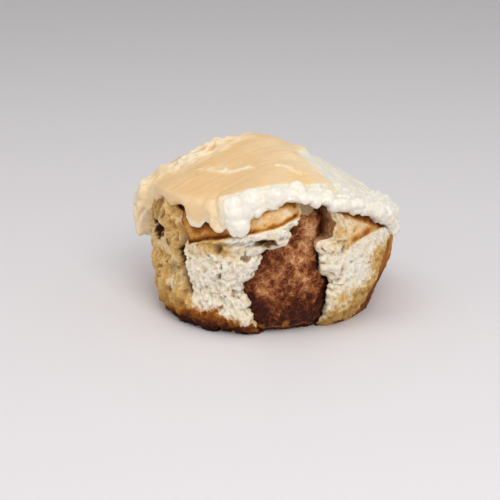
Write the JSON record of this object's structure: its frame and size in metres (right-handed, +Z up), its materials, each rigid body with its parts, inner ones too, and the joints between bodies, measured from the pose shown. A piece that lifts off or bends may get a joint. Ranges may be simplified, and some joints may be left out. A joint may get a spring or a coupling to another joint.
{
  "type": "cinnamon roll",
  "caption": "Pan-baked cinnamon roll with a torn front that bares its cinnamon-coated inner turn, and thick frosting spread over the top.",
  "frame": {"origin": "on the flat base that the roll rests on, under the middle of the roll", "axes": "+Z up out of the base through the crown; -Y towards the torn front; +X to the right of someone who faces the front"},
  "size_m": [0.1015, 0.0961, 0.0625],
  "materials": {
    "baked_dough": "matte",
    "frosting": "satin"
  },
  "bodies": {
    "root": {"bun": "baked_dough", "frosting": "frosting"}
  },
  "joints": []
}
